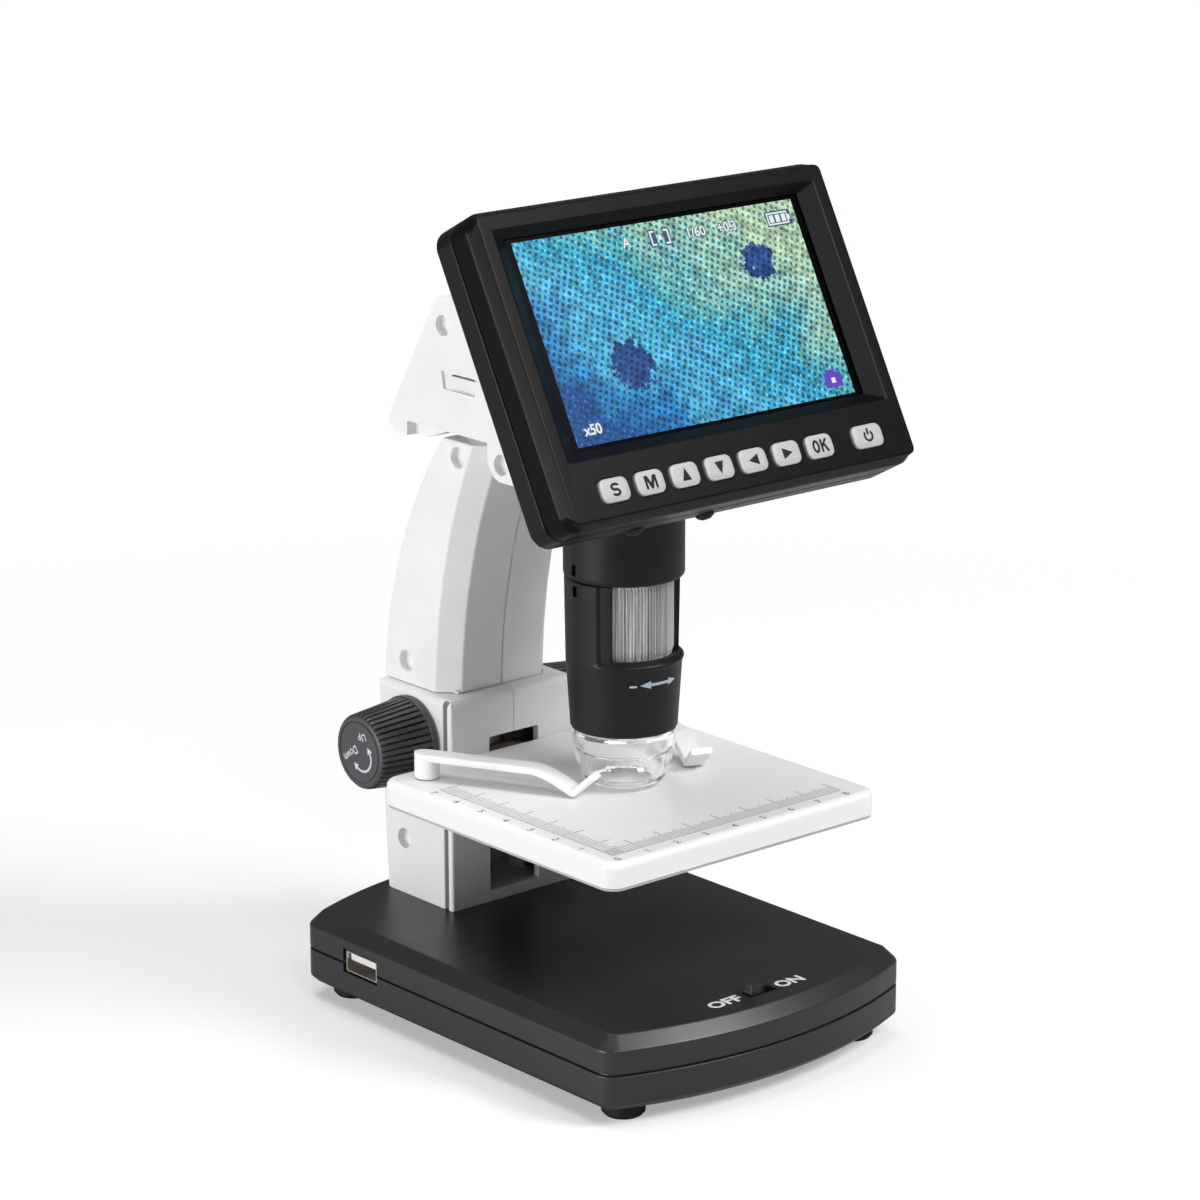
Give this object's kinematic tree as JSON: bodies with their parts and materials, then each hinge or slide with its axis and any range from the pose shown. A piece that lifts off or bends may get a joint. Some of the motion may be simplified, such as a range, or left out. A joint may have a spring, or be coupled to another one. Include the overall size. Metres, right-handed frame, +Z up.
{
  "type": "lcd digital microscope",
  "caption": "Desktop digital microscope: tilted screen head with keys, lens tube with focus ring, rack-lifted stage with ruler and clips, split column and arm, rechargeable base.",
  "frame": {"origin": "centre of the footprint, on the ground plane under the feet", "axes": "+Z up, the screen and the switch face -Y, +X to the right of a person at the screen"},
  "size_m": [0.12, 0.1484, 0.2305],
  "materials": {
    "black_plastic": "satin",
    "white_plastic": "satin",
    "key_plastic": "satin",
    "ring_metal": "satin",
    "nickel": "bright",
    "steel": "satin",
    "brass": "satin",
    "foot_rubber": "matt",
    "board": "satin",
    "screen_glass": "satin",
    "clear_plastic": "gloss",
    "optical_glass": "gloss"
  },
  "bodies": {
    "stand": {"base_bottom_shell": "black_plastic", "base_top_shell": "black_plastic", "rubber_feet": "foot_rubber", "base_screws": "steel", "usb_socket": "nickel", "usb_tongue": "white_plastic", "base_board": "board", "battery_pack": "steel", "switch_body": "black_plastic", "column_left_shell": "white_plastic", "column_right_shell": "white_plastic", "column_screws": "steel", "column_base_screws": "steel", "guide_rails": "black_plastic", "shaft_bushes": "brass", "arm_left_shell": "white_plastic", "arm_right_shell": "white_plastic", "arm_screws": "steel", "bracket_left_shell": "white_plastic", "bracket_right_shell": "white_plastic", "bracket_screws": "steel", "head_mount_screws": "steel", "head_rear_shell": "black_plastic", "head_front_bezel": "black_plastic", "head_screws": "steel", "lcd_panel": "screen_glass", "lcd_frame": "steel", "main_board": "board", "key_board": "board", "head_bumpers": "black_plastic", "tube_collar": "black_plastic", "tube_housing": "black_plastic", "ring_retainer": "black_plastic", "sensor_board": "board", "led_board": "board", "clear_tip": "clear_plastic"},
    "power_switch": {"power_switch_knob": "black_plastic"},
    "knobs": {"pinion_shaft": "steel", "pinion_gear": "brass", "knob_left": "black_plastic", "knob_right": "black_plastic"},
    "stage": {"stage_plate": "white_plastic", "stage_carriage": "black_plastic", "stage_rack": "steel", "stage_screws": "steel", "clip_pins": "steel"},
    "clip_left_body": {"clip_left": "white_plastic"},
    "clip_right_body": {"clip_right": "white_plastic"},
    "ring": {"focus_ring": "ring_metal"},
    "lens": {"lens_barrel": "black_plastic", "lens_elements": "optical_glass"},
    "key_s_body": {"key_s": "key_plastic"},
    "key_m_body": {"key_m": "key_plastic"},
    "key_up_body": {"key_up": "key_plastic"},
    "key_down_body": {"key_down": "key_plastic"},
    "key_left_body": {"key_left": "key_plastic"},
    "key_right_body": {"key_right": "key_plastic"},
    "key_ok_body": {"key_ok": "key_plastic"},
    "key_power_body": {"key_power": "key_plastic"}
  },
  "joints": [
    {"name": "stage_lift", "type": "slide", "parent": "stand", "child": "stage", "axis": [0, 0, 1], "range_m": [-0.026, 0]},
    {"name": "knob_turn", "type": "hinge", "parent": "stand", "child": "knobs", "pos_m": [0, 0.053, 0.0705], "axis": [1, 0, 0], "range_deg": [0, 310.4]},
    {"name": "power_slide", "type": "slide", "parent": "stand", "child": "power_switch", "axis": [1, 0, 0], "range_m": [0, 0.0045]},
    {"name": "clip_left_turn", "type": "hinge", "parent": "stage", "child": "clip_left_body", "pos_m": [-0.0376, 0.027, 0.0735], "axis": [0, 0, 1], "range_deg": [-55, 0]},
    {"name": "clip_right_turn", "type": "hinge", "parent": "stage", "child": "clip_right_body", "pos_m": [0.0376, 0.027, 0.0735], "axis": [0, 0, 1], "range_deg": [-5, 50]},
    {"name": "ring_turn", "type": "hinge", "parent": "stand", "child": "ring", "pos_m": [0, -0.01, 0.116], "axis": [0, 0, 1], "range_deg": [-150, 150]},
    {"name": "lens_slide", "type": "slide", "parent": "stand", "child": "lens", "axis": [0, 0, 1], "range_m": [-0.003, 0.003]},
    {"name": "key_s_press", "type": "slide", "parent": "stand", "child": "key_s_body", "axis": [0, -0.8813, 0.4726], "range_m": [-0.0004, 0], "stiffness_N_per_m": 600},
    {"name": "key_m_press", "type": "slide", "parent": "stand", "child": "key_m_body", "axis": [0, -0.8813, 0.4726], "range_m": [-0.0004, 0], "stiffness_N_per_m": 600},
    {"name": "key_up_press", "type": "slide", "parent": "stand", "child": "key_up_body", "axis": [0, -0.8813, 0.4726], "range_m": [-0.0004, 0], "stiffness_N_per_m": 600},
    {"name": "key_down_press", "type": "slide", "parent": "stand", "child": "key_down_body", "axis": [0, -0.8813, 0.4726], "range_m": [-0.0004, 0], "stiffness_N_per_m": 600},
    {"name": "key_left_press", "type": "slide", "parent": "stand", "child": "key_left_body", "axis": [0, -0.8813, 0.4726], "range_m": [-0.0004, 0], "stiffness_N_per_m": 600},
    {"name": "key_right_press", "type": "slide", "parent": "stand", "child": "key_right_body", "axis": [0, -0.8813, 0.4726], "range_m": [-0.0004, 0], "stiffness_N_per_m": 600},
    {"name": "key_ok_press", "type": "slide", "parent": "stand", "child": "key_ok_body", "axis": [0, -0.8813, 0.4726], "range_m": [-0.0004, 0], "stiffness_N_per_m": 600},
    {"name": "key_power_press", "type": "slide", "parent": "stand", "child": "key_power_body", "axis": [0, -0.8813, 0.4726], "range_m": [-0.0004, 0], "stiffness_N_per_m": 600}
  ],
  "couplings": [
    {"joint": "knob_turn", "follows": "stage_lift", "rad_per_m": -208.33},
    {"joint": "ring_turn", "follows": "lens_slide", "rad_per_m": 872.6}
  ]
}
